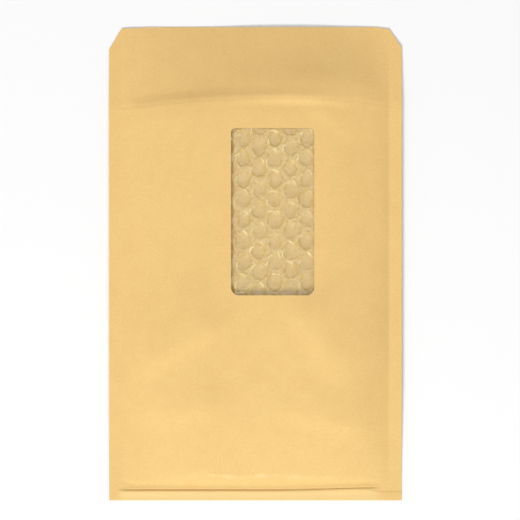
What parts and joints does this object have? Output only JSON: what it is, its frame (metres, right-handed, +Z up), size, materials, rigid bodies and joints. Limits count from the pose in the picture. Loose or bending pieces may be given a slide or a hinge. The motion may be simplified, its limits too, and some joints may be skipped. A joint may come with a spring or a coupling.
{
  "type": "padded envelope",
  "caption": "Kraft padded envelope lined with bubble film, open flap with cut corners, and a rectangular window in its front",
  "frame": {"origin": "On the surface the envelope lies on, under the middle of its outline", "axes": "+X across the envelope, +Y along it from the bottom fold to the tip of the flap, +Z up from the back panel to the window side"},
  "size_m": [0.17, 0.275, 0.012],
  "materials": {
    "kraft_paper": "matt brown kraft paper",
    "bubble_film": "clear polyethylene film",
    "adhesive": "pressure-sensitive adhesive",
    "release_paper": "silicone-coated white paper"
  },
  "bodies": {
    "root": {"paper_sleeve": "kraft_paper", "bubble_lining": "bubble_film", "adhesive_strip": "adhesive", "release_liner": "release_paper"}
  },
  "joints": []
}
